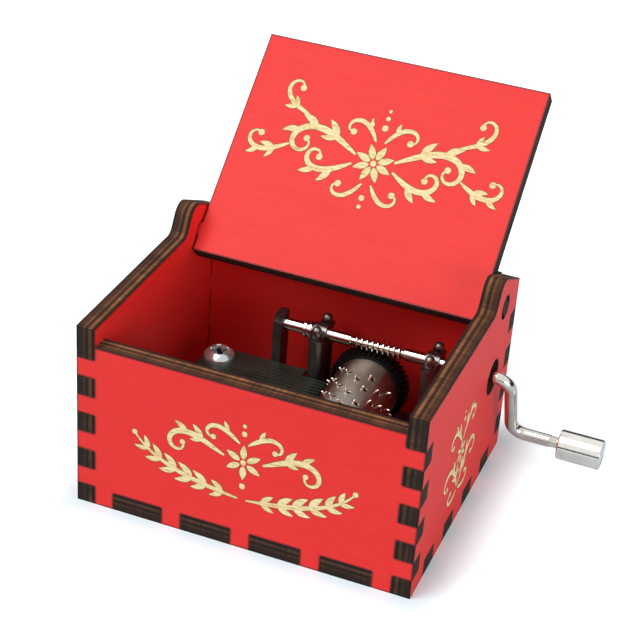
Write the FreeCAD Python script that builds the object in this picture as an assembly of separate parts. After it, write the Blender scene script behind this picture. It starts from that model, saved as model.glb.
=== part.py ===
import FreeCAD, Part
import math
import os

# Hand-crank cylinder music box, in millimetres.
# Origin: middle of the case's footprint, on the table. X runs along the front, Y to the rear, Z up.

Vec = FreeCAD.Vector
ALONG_X = Vec(1, 0, 0)
ALONG_Y = Vec(0, 1, 0)
UP = Vec(0, 0, 1)

# Plywood case
CASE_WIDTH = 64.0
CASE_DEPTH = 52.0
PLY = 3.5
SIDE_TOP = 37.0
FRONT_TOP = 33.4
REAR_TOP = 37.3
FINGER = 3.85            # height of one finger of the corner joints
FINGER_ROWS = 4          # fingers that the front and rear panels push through each side panel
END_TABS = 4             # tabs of the bottom panel through the front and through the rear
END_TAB_WIDTH = 9.6
END_TAB_PITCH = 13.35
SIDE_TABS = 4            # tabs of the bottom panel through each side
SIDE_TAB_WIDTH = 5.3
SIDE_TAB_PITCH = 11.0
EAR_FOOT_Y = 10.9        # raised ear of the side panels, round the lid's pivot
EAR_PEAK_Y = 14.1
EAR_PEAK = 42.8
EAR_PEAK_RADIUS = 3.0
EAR_FOOT_RADIUS = 2.0
CRANK_HOLE_R = 3.4

# Lid, which turns on two tabs of its own
PIVOT_Y = 17.5
LID_GAP = 0.05           # under the closed lid, and behind the open one
LID_SIDE_GAP = 0.25
LID_FRONT_Y = -24.5
LID_BEHIND_PIVOT = 4.4
LID_TAB_WIDTH = 2.7
TAB_PLAY = 0.08

# Movement: crank wire with its worm, and the drum below it
WIRE_R = 1.2
SHAFT_Y = 14.5
SHAFT_Z = 21.9
SHAFT_PLAY = 0.06
DRUM_X = 8.6
WHEEL_TEETH = 44
WHEEL_PITCH_R = 7.4
WHEEL_WIDTH = 3.0
WORM_PITCH_R = 1.1
WORM_TIP_R = 1.4
WORM_ROOT_R = 0.8
WORM_TURNS = 9
WORM_TURNS_LEFT = 3.5    # turns of the worm to the left of the wheel's middle
WORM_STEPS = 12          # flat steps of the thread in one turn
WORM_RUNOUT = 0.6        # bare root at each end of the thread
MESH_GAP = 0.1           # between a tip and the root that it runs in
PRESSURE_ANGLE = 20.0
THREAD_SHARE = 0.42      # of the pitch, taken by the worm's thread
TOOTH_SHARE = 0.40       # of the pitch, taken by the wheel's tooth
WHEEL_DISC_R = 6.9
WHEEL_DISC = 0.3

# Pinned drum
DRUM_R = 6.3
SLEEVE_WALL = 0.4
DRUM_FRONT_Y = -8.6
PLUG_DEPTH = 2.0
PLUG_PLAY = 0.01
CAP_FLANGE = 0.6
ARBOR_R = 0.9
ARBOR_PLAY = 0.05
PIN_COUNT = 66
PIN_FOOT = 0.5
PIN_TIP = 0.36
PIN_HEIGHT = 0.65
PIN_TURN = 63.5          # degrees from one pin to the next
TRACK_STEP = 7           # comb teeth from one pin to the next
TRACK_SHIFT = 7          # pins after which the tracks move on by one tooth more

# Comb
TEETH = 18
TOOTH_PITCH = 0.98
TOOTH_SLOT = 0.2
TIP_SLOT = 0.5
TIP_LENGTH = 2.0
COMB_LEFT = -23.2
COMB_FRONT = -7.5
COMB_REAR = 12.3
COMB_TOP = 14.2
COMB_HEEL = 1.8
COMB_TEETH = 0.8
COMB_CORNER = 5.0
COMB_MARGIN_GAP = 0.3    # from the plain margin behind the teeth to the bearing column
TREBLE_LENGTH = 11.0
BASS_LENGTH = 19.0
PLUCK_GAP = 0.08         # from the comb's tips to the circle that the pins sweep
WEIGHTED_TEETH = 7
WEIGHT_LENGTH = 3.0
WEIGHT_DEPTH = 1.7

# Die-cast bedplate
BED_X = (-23.6, 23.6)
BED_Y = (-16.0, 19.6)
BED_PLATE = 2.0
BED_CORNER = 2.0
HEEL_RIGHT = -15.5
BEARING_X = (-1.75, 20.6)
STUD_REACH = 2.75        # from the shaft to a column beside it
COLUMN_R = 1.35
COLUMN_ABOVE_SHAFT = 0.1
WEB = 1.8
WEB_BELOW_SHAFT = 0.7
END_POST_X = (-10.9, -9.2)
END_POST_HALF = 2.0
END_POST_LIP = 0.6       # lower step along the front of the end post
END_POST_LIP_ABOVE = 0.85
END_POST_ABOVE = 2.0
BRACKET_HALF = 3.0
BRACKET_Y = (16.4, 18.6)

# Bearing straps over the shaft, and their rivets
STRAP_WIDTH = 2.6
STRAP = 0.5
STRAP_EAR = 1.2
RIVET_SHANK_R = 0.6
RIVET_SHANK = 3.0
RIVET_HEAD_R = 0.95
RIVET_TOP_R = 0.7
RIVET_HEAD = 2.1
RIVET_SIDES = 8          # shanks and rivets repeat, so they have flat sides
SCREW_SIDES = 16

# Drum bridge, the stamped bracket at the drum's front end
BRIDGE = 1.2
BRIDGE_HALF = 4.2
BRIDGE_UPRIGHT_HALF = 3.0
BRIDGE_FOOT_Y = -15.6
BRIDGE_GAP = 0.4

# Crank beyond the case
CRANK_ARM_X = 35.5
CRANK_RADIUS = 16.0
CRANK_LEAN = 22.8        # degrees of the hanging arm to the rear of straight down
BEND_R = 3.0
SHAFT_LEFT = -10.7
NECK_R = 1.05
NECK_X = 43.4
NECK_END = 51.0
NECK_HEAD_R = 1.45
NECK_HEAD = 0.7
COLLAR_X = (-5.0, -3.4)
COLLAR_R = 1.75
COLLAR_GROOVE = 0.35
KNOB_X = (45.0, 53.3)
KNOB_R = 2.87
KNOB_CHAMFER = 0.25
KNOB_PLAY = 0.05
KNOB_POCKET_R = 2.0
KNOB_CAP = 0.9

# Screws: thread radius, head radius and head height
COMB_SCREW = (1.45, 2.95, 2.0)
COMB_SCREW_X = -20.0
COMB_SCREW_Y = (8.6, -3.8)
COMB_SCREW_LENGTH = 7.5
BASE_SCREW = (1.2, 2.2, 1.5)
BASE_SCREW_AT = ((19.0, -12.6), (-6.2, 16.6))
BASE_SCREW_LENGTH = 3.4
BASE_SCREW_DEPTH = 0.4   # of the heads above the case's underside
BRIDGE_SCREW = (0.75, 1.5, 1.0)
BRIDGE_SCREW_LENGTH = 2.6
SCREW_PLAY = 0.02
HEAD_PLAY = 0.3
COMB_SCREW_BEVEL = 0.9

# Worked out from the dimensions above
HALF_X = CASE_WIDTH / 2
HALF_Y = CASE_DEPTH / 2
INNER_X = HALF_X - PLY
INNER_Y = HALF_Y - PLY
PIVOT_Z = FRONT_TOP + LID_GAP + PLY / 2
LID_HALF = INNER_X - LID_SIDE_GAP
TAB_HOLE_R = math.hypot(LID_TAB_WIDTH, PLY) / 2 + TAB_PLAY
BED_TOP = PLY + BED_PLATE
CENTRE_DISTANCE = WHEEL_PITCH_R + WORM_PITCH_R
DRUM_Z = SHAFT_Z - CENTRE_DISTANCE
WORM_PITCH = 2 * math.pi * WHEEL_PITCH_R / WHEEL_TEETH
WORM_LEFT = DRUM_X - WORM_TURNS_LEFT * WORM_PITCH
WORM_START = WORM_LEFT - WORM_RUNOUT
WORM_END = WORM_LEFT + WORM_TURNS * WORM_PITCH + WORM_RUNOUT
WHEEL_FRONT_Y = SHAFT_Y - WHEEL_WIDTH / 2
DRUM_REAR_Y = WHEEL_FRONT_Y - WHEEL_DISC
TEETH_REAR = COMB_FRONT + TEETH * TOOTH_PITCH
SWEPT_R = DRUM_R + PIN_HEIGHT
COMB_TIP_X = DRUM_X - math.sqrt((SWEPT_R + PLUCK_GAP) ** 2 - (COMB_TOP - COMB_TEETH - DRUM_Z) ** 2)
HEEL_TOP = COMB_TOP - COMB_HEEL
COLUMN_TOP = SHAFT_Z + COLUMN_ABOVE_SHAFT
BRIDGE_REAR_Y = DRUM_FRONT_Y - CAP_FLANGE - BRIDGE_GAP
BRIDGE_SCREW_Y = (BRIDGE_FOOT_Y + BRIDGE_REAR_Y - BRIDGE) / 2


def lid_open_angle():
    # Angle of the lid above the table, to the rear, where its outer face meets the rear panel's inner edge
    reach = INNER_Y - PIVOT_Y
    rise = REAR_TOP - PIVOT_Z
    return math.degrees(math.atan2(rise, reach) + math.asin((PLY / 2 + LID_GAP) / math.hypot(reach, rise)))


def box(x, y, z):
    # A block between the low and high value of each pair
    return Part.makeBox(x[1] - x[0], y[1] - y[0], z[1] - z[0], Vec(x[0], y[0], z[0]))


def rod(radius, start, axis, length):
    return Part.makeCylinder(radius, length, start, axis)


def around(middle, half):
    return (middle - half, middle + half)


def row_of(count, pitch):
    # Middles of a row of equal steps, centred on zero
    return [(i - (count - 1) / 2) * pitch for i in range(count)]


def fuse(first, others):
    return first.multiFuse(others).removeSplitter()


def edges_at(solid, axis, **place):
    # Edges along one axis that pass through the given coordinates
    def fits(edge):
        run = edge.lastVertex().Point - edge.firstVertex().Point
        if run.Length < 1e-6 or run.cross(axis).Length > 1e-6:
            return False
        return all(abs(getattr(edge.firstVertex().Point, name) - at) < 1e-4 for name, at in place.items())
    return [edge for edge in solid.Edges if fits(edge)]


def top_edges(solid):
    return [edge for edge in solid.Edges if abs(edge.BoundBox.ZMin - solid.BoundBox.ZMax) < 1e-4]


def finger_heights():
    return [(FINGER * row, FINGER * (row + 1)) for row in range(1, 2 * FINGER_ROWS, 2)]


# Plywood case

def end_panel(y, top):
    panel = box((-INNER_X, INNER_X), y, (0, top))
    fingers = [box((-HALF_X, HALF_X), y, row) for row in finger_heights()]
    notches = [box(around(at, END_TAB_WIDTH / 2), y, (0, PLY)) for at in row_of(END_TABS, END_TAB_PITCH)]
    return fuse(panel, fingers).cut(Part.makeCompound(notches)).removeSplitter()


def side_panel(x):
    outline = [(-HALF_Y, 0), (HALF_Y, 0), (HALF_Y, SIDE_TOP), (EAR_PEAK_Y, EAR_PEAK),
               (EAR_FOOT_Y, SIDE_TOP), (-HALF_Y, SIDE_TOP)]
    corners = [Vec(x[0], y, z) for y, z in outline]
    panel = Part.Face(Part.makePolygon(corners + corners[:1])).extrude(ALONG_X * PLY)
    panel = panel.makeFillet(EAR_PEAK_RADIUS, edges_at(panel, ALONG_X, y=EAR_PEAK_Y, z=EAR_PEAK))
    panel = panel.makeFillet(EAR_FOOT_RADIUS, edges_at(panel, ALONG_X, y=EAR_FOOT_Y, z=SIDE_TOP))
    slots = [box(x, end, row) for row in finger_heights()
             for end in ((-HALF_Y, -INNER_Y), (INNER_Y, HALF_Y))]
    slots += [box(x, around(at, SIDE_TAB_WIDTH / 2), (0, PLY)) for at in row_of(SIDE_TABS, SIDE_TAB_PITCH)]
    slots.append(rod(TAB_HOLE_R, Vec(x[0], PIVOT_Y, PIVOT_Z), ALONG_X, PLY))
    return panel.cut(Part.makeCompound(slots)).removeSplitter()


def right_panel():
    hole = rod(CRANK_HOLE_R, Vec(INNER_X, SHAFT_Y, SHAFT_Z), ALONG_X, PLY)
    return side_panel((INNER_X, HALF_X)).cut(hole)


def bottom_panel():
    floor = box((-INNER_X, INNER_X), (-INNER_Y, INNER_Y), (0, PLY))
    tabs = [box(around(at, END_TAB_WIDTH / 2), (-HALF_Y, HALF_Y), (0, PLY))
            for at in row_of(END_TABS, END_TAB_PITCH)]
    tabs += [box((-HALF_X, HALF_X), around(at, SIDE_TAB_WIDTH / 2), (0, PLY))
             for at in row_of(SIDE_TABS, SIDE_TAB_PITCH)]
    thread_r, head_r, head = BASE_SCREW
    holes = []
    for x, y in BASE_SCREW_AT:
        holes.append(rod(thread_r + SCREW_PLAY, Vec(x, y, 0), UP, PLY))
        holes.append(rod(head_r + HEAD_PLAY, Vec(x, y, 0), UP, BASE_SCREW_DEPTH + head))
    return fuse(floor, tabs).cut(Part.makeCompound(holes)).removeSplitter()


def lid_panel():
    depth = around(PIVOT_Z, PLY / 2)
    plate = box((-LID_HALF, LID_HALF), (LID_FRONT_Y, PIVOT_Y + LID_BEHIND_PIVOT), depth)
    tabs = box((-HALF_X, HALF_X), around(PIVOT_Y, LID_TAB_WIDTH / 2), depth)
    lid = fuse(plate, [tabs])
    lid.rotate(Vec(0, PIVOT_Y, PIVOT_Z), ALONG_X, lid_open_angle() - 180)
    return lid


# Fasteners

def prism(foot_r, top_r, start, length, sides=RIVET_SIDES):
    # An upright with flat sides, its corners on the two radii
    turns = [2 * math.pi * i / sides for i in range(sides + 1)]
    rings = [[start + Vec(r * math.cos(turn), r * math.sin(turn), z) for turn in turns]
             for r, z in ((foot_r, 0), (top_r, length))]
    return Part.makeLoft([Part.makePolygon(ring) for ring in rings], True, True)


def round_screw(size, at, axis, length):
    # A plain head on a plain shank, its seat at the given point
    thread_r, head_r, head = size
    crown = prism(head_r, head_r, Vec(), head, SCREW_SIDES)
    screw = fuse(crown, [prism(thread_r, thread_r, Vec(0, 0, -length), length)])
    screw.Placement = FreeCAD.Placement(at, FreeCAD.Rotation(UP, axis))
    return screw


def comb_screws():
    # Pan heads, bevelled round the rim
    screws = [round_screw(COMB_SCREW, Vec(COMB_SCREW_X, y, COMB_TOP), UP, COMB_SCREW_LENGTH)
              for y in COMB_SCREW_Y]
    return Part.makeCompound([screw.makeChamfer(COMB_SCREW_BEVEL, top_edges(screw)) for screw in screws])


def base_screws():
    seats = [Vec(x, y, BASE_SCREW_DEPTH + BASE_SCREW[2]) for x, y in BASE_SCREW_AT]
    return Part.makeCompound([round_screw(BASE_SCREW, seat, -UP, BASE_SCREW_LENGTH) for seat in seats])


def bridge_screw():
    return round_screw(BRIDGE_SCREW, Vec(DRUM_X, BRIDGE_SCREW_Y, BED_TOP + BRIDGE), UP, BRIDGE_SCREW_LENGTH)


def stud_places():
    return [(x, SHAFT_Y + side * STUD_REACH) for x in BEARING_X for side in (-1, 1)]


def bearing_rivets():
    seat = COLUMN_TOP + STRAP
    rivets = []
    for x, y in stud_places():
        foot = Vec(x, y, COLUMN_TOP - RIVET_SHANK)
        shank = prism(RIVET_SHANK_R, RIVET_SHANK_R, foot, RIVET_SHANK + STRAP)
        head = prism(RIVET_HEAD_R, RIVET_TOP_R, Vec(x, y, seat), RIVET_HEAD)
        rivets.append(fuse(shank, [head]))
    return Part.makeCompound(rivets)


# Bedplate and what is fixed to it

def bedplate():
    plate = box(BED_X, BED_Y, (PLY, BED_TOP))
    plate = plate.makeFillet(BED_CORNER, [edge for edge in plate.Edges
                                          if abs(edge.BoundBox.ZLength - BED_PLATE) < 1e-6])
    solids = [box((COMB_LEFT, HEEL_RIGHT), (COMB_FRONT, COMB_REAR), (BED_TOP, HEEL_TOP))]
    solids += [rod(COLUMN_R, Vec(x, y, BED_TOP), UP, COLUMN_TOP - BED_TOP) for x, y in stud_places()]
    web_z = (BED_TOP, SHAFT_Z - WEB_BELOW_SHAFT)
    solids += [box(around(x, WEB / 2), around(SHAFT_Y, STUD_REACH), web_z) for x in BEARING_X]
    lip_y = (SHAFT_Y - END_POST_HALF, SHAFT_Y - END_POST_HALF + END_POST_LIP)
    post_y = (lip_y[1], SHAFT_Y + END_POST_HALF)
    solids.append(box(END_POST_X, lip_y, (BED_TOP, SHAFT_Z + END_POST_LIP_ABOVE)))
    solids.append(box(END_POST_X, post_y, (BED_TOP, SHAFT_Z + END_POST_ABOVE)))
    bracket_axis = Vec(DRUM_X, BRACKET_Y[0], DRUM_Z)
    bracket = BRACKET_Y[1] - BRACKET_Y[0]
    solids.append(box(around(DRUM_X, BRACKET_HALF), BRACKET_Y, (BED_TOP, DRUM_Z)))
    solids.append(rod(BRACKET_HALF, bracket_axis, ALONG_Y, bracket))
    casting = fuse(plate, solids)

    cuts = [rod(WIRE_R + SHAFT_PLAY, Vec(BED_X[0], SHAFT_Y, SHAFT_Z), ALONG_X, BED_X[1] - BED_X[0])]
    cuts.append(rod(ARBOR_R + ARBOR_PLAY, bracket_axis, ALONG_Y, bracket))
    hole_r = RIVET_SHANK_R + SCREW_PLAY
    cuts += [prism(hole_r, hole_r, Vec(x, y, COLUMN_TOP - RIVET_SHANK), RIVET_SHANK)
             for x, y in stud_places()]
    cuts += [rod(BASE_SCREW[0] + SCREW_PLAY, Vec(x, y, PLY), UP, BED_PLATE) for x, y in BASE_SCREW_AT]
    cuts += [rod(COMB_SCREW[0] + SCREW_PLAY, Vec(COMB_SCREW_X, y, PLY), UP, HEEL_TOP)
             for y in COMB_SCREW_Y]
    cuts.append(rod(BRIDGE_SCREW[0] + SCREW_PLAY, Vec(DRUM_X, BRIDGE_SCREW_Y, PLY), UP, BED_PLATE))
    return casting.cut(Part.makeCompound(cuts)).removeSplitter()


def bearing_strap(x):
    # Flat ears on the two columns, with an arch over the shaft between them
    width = around(x, STRAP_WIDTH / 2)
    ears = box(width, around(SHAFT_Y, STUD_REACH + STRAP_EAR), (COLUMN_TOP, COLUMN_TOP + STRAP))
    arch_r = WIRE_R + SHAFT_PLAY
    arch = rod(arch_r + STRAP, Vec(width[0], SHAFT_Y, SHAFT_Z), ALONG_X, STRAP_WIDTH)
    below = box(width, around(SHAFT_Y, 2 * arch_r), (SHAFT_Z - 2 * arch_r, COLUMN_TOP))
    cuts = [below, rod(arch_r, Vec(width[0], SHAFT_Y, SHAFT_Z), ALONG_X, STRAP_WIDTH)]
    hole_r = RIVET_SHANK_R + SCREW_PLAY
    cuts += [prism(hole_r, hole_r, Vec(x, SHAFT_Y + side * STUD_REACH, COLUMN_TOP), STRAP)
             for side in (-1, 1)]
    return ears.fuse(arch).cut(Part.makeCompound(cuts)).removeSplitter()


def tooth_edges():
    # Middles of the slots beside the comb's teeth, the last one before the plain margin
    return [COMB_FRONT + i * TOOTH_PITCH for i in range(1, TEETH + 1)]


def tooth_length(y):
    # The teeth shorten evenly from the bass at the front to the treble at the rear
    share = (y - COMB_FRONT) / (TEETH_REAR - COMB_FRONT)
    return BASS_LENGTH + (TREBLE_LENGTH - BASS_LENGTH) * share ** 2


def comb():
    plate = box((COMB_LEFT, COMB_TIP_X), (COMB_FRONT, COMB_REAR), (HEEL_TOP, COMB_TOP))
    plate = plate.makeFillet(COMB_CORNER, edges_at(plate, UP, x=COMB_LEFT))
    cuts = [box((HEEL_RIGHT, COMB_TIP_X), (COMB_FRONT, COMB_REAR), (HEEL_TOP, COMB_TOP - COMB_TEETH))]
    depth = (HEEL_TOP, COMB_TOP)
    margin_right = BEARING_X[0] - COLUMN_R - COMB_MARGIN_GAP
    cuts.append(box((margin_right, COMB_TIP_X), (TEETH_REAR, COMB_REAR), depth))
    for y in tooth_edges():
        cuts.append(box((COMB_TIP_X - tooth_length(y), COMB_TIP_X), around(y, TOOTH_SLOT / 2), depth))
        cuts.append(box((COMB_TIP_X - TIP_LENGTH, COMB_TIP_X), around(y, TIP_SLOT / 2), depth))
    cuts += [rod(COMB_SCREW[0] + SCREW_PLAY, Vec(COMB_SCREW_X, y, HEEL_TOP), UP, COMB_HEEL)
             for y in COMB_SCREW_Y]
    return plate.cut(Part.makeCompound(cuts)).removeSplitter()


def comb_weights():
    # Lead under the bass teeth, shorter from tooth to tooth
    right = COMB_TIP_X - TIP_LENGTH
    top = COMB_TOP - COMB_TEETH
    width = (TOOTH_PITCH - TIP_SLOT) / 2
    weights = []
    for i in range(WEIGHTED_TEETH):
        length = WEIGHT_LENGTH * (1 - i / (WEIGHTED_TEETH + 2))
        middle = COMB_FRONT + (i + 0.5) * TOOTH_PITCH
        weights.append(box((right - length, right), around(middle, width), (top - WEIGHT_DEPTH, top)))
    return Part.makeCompound(weights)


def drum_bridge():
    upright_y = (BRIDGE_REAR_Y - BRIDGE, BRIDGE_REAR_Y)
    foot = box(around(DRUM_X, BRIDGE_HALF), (BRIDGE_FOOT_Y, BRIDGE_REAR_Y), (BED_TOP, BED_TOP + BRIDGE))
    upright = box(around(DRUM_X, BRIDGE_UPRIGHT_HALF), upright_y, (BED_TOP, DRUM_Z))
    crown = rod(BRIDGE_UPRIGHT_HALF, Vec(DRUM_X, upright_y[0], DRUM_Z), ALONG_Y, BRIDGE)
    bore = rod(ARBOR_R + ARBOR_PLAY, Vec(DRUM_X, upright_y[0], DRUM_Z), ALONG_Y, BRIDGE)
    hole = rod(BRIDGE_SCREW[0] + SCREW_PLAY, Vec(DRUM_X, BRIDGE_SCREW_Y, BED_TOP), UP, BRIDGE)
    return fuse(foot, [upright, crown]).cut(Part.makeCompound([bore, hole]))


# Drum

def square(side, z):
    # A square on the line over the drum's axis, at the given height above it
    corners = [Vec(DRUM_X + x * side / 2, y * side / 2, DRUM_Z + z)
               for x, y in ((-1, -1), (1, -1), (1, 1), (-1, 1))]
    return Part.makePolygon(corners + corners[:1])


def drum_pin(number):
    # A square pin on the track of one tooth, with its foot inside the wall
    pin = Part.makeLoft([square(PIN_FOOT, DRUM_R - SLEEVE_WALL / 2), square(PIN_TIP, SWEPT_R)], True, True)
    track = (number * TRACK_STEP + number // TRACK_SHIFT) % TEETH
    pin.translate(ALONG_Y * (COMB_FRONT + (track + 0.5) * TOOTH_PITCH))
    pin.rotate(Vec(DRUM_X, 0, DRUM_Z), ALONG_Y, number * PIN_TURN)
    return pin


def drum_sleeve():
    # A rolled tube whose pins are punched out of its wall
    length = DRUM_REAR_Y - DRUM_FRONT_Y
    tube = rod(DRUM_R, Vec(DRUM_X, DRUM_FRONT_Y, DRUM_Z), ALONG_Y, length)
    bore = rod(DRUM_R - SLEEVE_WALL, Vec(DRUM_X, DRUM_FRONT_Y, DRUM_Z), ALONG_Y, length)
    return tube.cut(bore).multiFuse([drum_pin(number) for number in range(PIN_COUNT)])


def plug(start, depth):
    return rod(DRUM_R - SLEEVE_WALL - PLUG_PLAY, Vec(DRUM_X, start, DRUM_Z), ALONG_Y, depth)


def arbor_bore(start, end):
    return rod(ARBOR_R + PLUG_PLAY, Vec(DRUM_X, start, DRUM_Z), ALONG_Y, end - start)


def drum_front_cap():
    flange_y = DRUM_FRONT_Y - CAP_FLANGE
    flange = rod(DRUM_R, Vec(DRUM_X, flange_y, DRUM_Z), ALONG_Y, CAP_FLANGE)
    cap = fuse(flange, [plug(DRUM_FRONT_Y, PLUG_DEPTH)])
    return cap.cut(arbor_bore(flange_y, DRUM_FRONT_Y + PLUG_DEPTH))


def drum_arbor():
    start = BRIDGE_REAR_Y - BRIDGE - BRIDGE_GAP
    end = BRACKET_Y[1] + BRIDGE_GAP
    return rod(ARBOR_R, Vec(DRUM_X, start, DRUM_Z), ALONG_Y, end - start)


def wheel_outline(y):
    # Straight-flanked teeth, turned along the wheel's width by the worm's lead
    slope = math.tan(math.radians(PRESSURE_ANGLE))
    lead = WORM_PITCH / (2 * math.pi * WORM_PITCH_R)
    turn = lead * (y - SHAFT_Y) / WHEEL_PITCH_R
    root_r = CENTRE_DISTANCE - WORM_TIP_R - MESH_GAP
    tip_r = CENTRE_DISTANCE - WORM_ROOT_R - MESH_GAP
    corners = []
    for tooth in range(WHEEL_TEETH):
        middle = turn + 2 * math.pi * tooth / WHEEL_TEETH
        for radius, side in ((root_r, -1), (tip_r, -1), (tip_r, 1), (root_r, 1)):
            half = TOOTH_SHARE * WORM_PITCH / 2 - (radius - WHEEL_PITCH_R) * slope
            angle = middle + side * half / radius
            corners.append(Vec(DRUM_X + radius * math.sin(angle), y, DRUM_Z + radius * math.cos(angle)))
    return Part.makePolygon(corners + corners[:1])


def drive_gear():
    rear_y = WHEEL_FRONT_Y + WHEEL_WIDTH
    rim = Part.makeLoft([wheel_outline(WHEEL_FRONT_Y), wheel_outline(rear_y)], True, True)
    disc = rod(WHEEL_DISC_R, Vec(DRUM_X, DRUM_REAR_Y, DRUM_Z), ALONG_Y, WHEEL_DISC)
    gear = fuse(rim, [disc, plug(DRUM_REAR_Y - PLUG_DEPTH, PLUG_DEPTH)])
    return gear.cut(arbor_bore(DRUM_REAR_Y - PLUG_DEPTH, rear_y))


# Crank

def worm_point(radius, along, step):
    # A point of the worm after so many steps of its helix, which is right-handed
    turn = 2 * math.pi * step / WORM_STEPS
    return Vec(along, SHAFT_Y + radius * math.sin(turn), SHAFT_Z - radius * math.cos(turn))


def thread_section(step):
    # The four corners of the thread: root, tip, tip and root, from left to right
    slope = math.tan(math.radians(PRESSURE_ANGLE))
    middle = WORM_LEFT + WORM_PITCH * step / WORM_STEPS
    corners = []
    for radius, side in ((WORM_ROOT_R, -1), (WORM_TIP_R, -1), (WORM_TIP_R, 1), (WORM_ROOT_R, 1)):
        half = THREAD_SHARE * WORM_PITCH / 2 - (radius - WORM_PITCH_R) * slope
        corners.append(worm_point(radius, middle + side * half, step))
    return corners


def worm():
    # Strips between the helices of the thread's corners, with a bare root beyond the first and last turn
    last = WORM_TURNS * WORM_STEPS
    thread = [thread_section(step) for step in range(last + 1)]
    left = [worm_point(WORM_ROOT_R, WORM_START, step) for step in range(WORM_STEPS + 1)]
    right = [worm_point(WORM_ROOT_R, WORM_END, step) for step in range(last + 1)]
    outlines = [thread[0], thread[last][::-1], left[:-1], right[:WORM_STEPS][::-1]]
    for (a, b, c, d), (a2, b2, c2, d2) in zip(thread, thread[1:]):
        outlines += [(a, b, b2), (a, b2, a2), (b, c, c2, b2), (c, d, d2), (c, d2, c2)]
    for step in range(last - WORM_STEPS):
        outlines.append((thread[step][3], thread[step + WORM_STEPS][0],
                         thread[step + WORM_STEPS + 1][0], thread[step + 1][3]))
    for step in range(WORM_STEPS):
        seam = (thread[0][0], thread[0][3]) if step == WORM_STEPS - 1 else ()
        outlines.append((left[step], left[step + 1], *seam, thread[step + 1][0], thread[step][0]))
    for step in range(last - WORM_STEPS, last):
        seam = (thread[last][3], thread[last][0]) if step == last - WORM_STEPS else ()
        outlines.append((thread[step][3], thread[step + 1][3], right[step + 1], right[step], *seam))
    shell = Part.makeShell([Part.Face(Part.makePolygon([*loop, loop[0]])) for loop in outlines])
    shell.sewShape()
    return Part.makeSolid(shell)


def crank_path():
    # From the worm out of the case, down the arm and out again to the knob
    lean = math.radians(CRANK_LEAN)
    arm = Vec(0, math.sin(lean), -math.cos(lean))
    bend = BEND_R * (1 - math.sqrt(0.5))
    first = Vec(CRANK_ARM_X, SHAFT_Y, SHAFT_Z)
    second = first + arm * CRANK_RADIUS
    points = [Vec(WORM_END, SHAFT_Y, SHAFT_Z), first - ALONG_X * BEND_R, first + arm * BEND_R,
              second - arm * BEND_R, second + ALONG_X * BEND_R, Vec(NECK_X, second.y, second.z)]
    first_mid = first + (arm - ALONG_X) * bend
    second_mid = second + (ALONG_X - arm) * bend
    edges = [Part.LineSegment(points[0], points[1]).toShape(),
             Part.Arc(points[1], first_mid, points[2]).toShape(),
             Part.LineSegment(points[2], points[3]).toShape(),
             Part.Arc(points[3], second_mid, points[4]).toShape(),
             Part.LineSegment(points[4], points[5]).toShape()]
    return Part.Wire(edges), points[5]


def crank_shaft():
    path, end = crank_path()
    section = Part.Wire(Part.makeCircle(WIRE_R, Vec(WORM_END, SHAFT_Y, SHAFT_Z), ALONG_X))
    bent = path.makePipeShell([section], True, False)
    left = rod(WIRE_R, Vec(SHAFT_LEFT, SHAFT_Y, SHAFT_Z), ALONG_X, WORM_START - SHAFT_LEFT)
    neck = rod(NECK_R, end, ALONG_X, NECK_END - NECK_X)
    head = rod(NECK_HEAD_R, Vec(NECK_END, end.y, end.z), ALONG_X, NECK_HEAD)
    return worm().multiFuse([left, bent, neck, head])


def shaft_collar():
    # A turned ring with a groove between two lands
    width = COLLAR_X[1] - COLLAR_X[0]
    ring = rod(COLLAR_R, Vec(COLLAR_X[0], SHAFT_Y, SHAFT_Z), ALONG_X, width)
    waist = rod(COLLAR_R, Vec(COLLAR_X[0] + width / 3, SHAFT_Y, SHAFT_Z), ALONG_X, width / 3)
    waist = waist.cut(rod(COLLAR_R - COLLAR_GROOVE, Vec(COLLAR_X[0], SHAFT_Y, SHAFT_Z), ALONG_X, width))
    return ring.cut(waist).cut(rod(WIRE_R, Vec(COLLAR_X[0], SHAFT_Y, SHAFT_Z), ALONG_X, width))


def crank_knob():
    end = crank_path()[1]
    body = rod(KNOB_R, Vec(KNOB_X[0], end.y, end.z), ALONG_X, KNOB_X[1] - KNOB_X[0])
    body = body.makeChamfer(KNOB_CHAMFER, [edge for edge in body.Edges if edge.BoundBox.XLength < 1e-6])
    bore = rod(NECK_R + KNOB_PLAY, Vec(KNOB_X[0], end.y, end.z), ALONG_X, KNOB_X[1] - KNOB_X[0])
    pocket_x = NECK_END - KNOB_PLAY
    pocket = rod(KNOB_POCKET_R, Vec(pocket_x, end.y, end.z), ALONG_X, KNOB_X[1] - pocket_x)
    return body.cut(bore).cut(pocket)


def knob_end_cap():
    # A disc pressed into the pocket, over the upset end of the wire
    end = crank_path()[1]
    return rod(KNOB_POCKET_R, Vec(KNOB_X[1] - KNOB_CAP, end.y, end.z), ALONG_X, KNOB_CAP)


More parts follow.
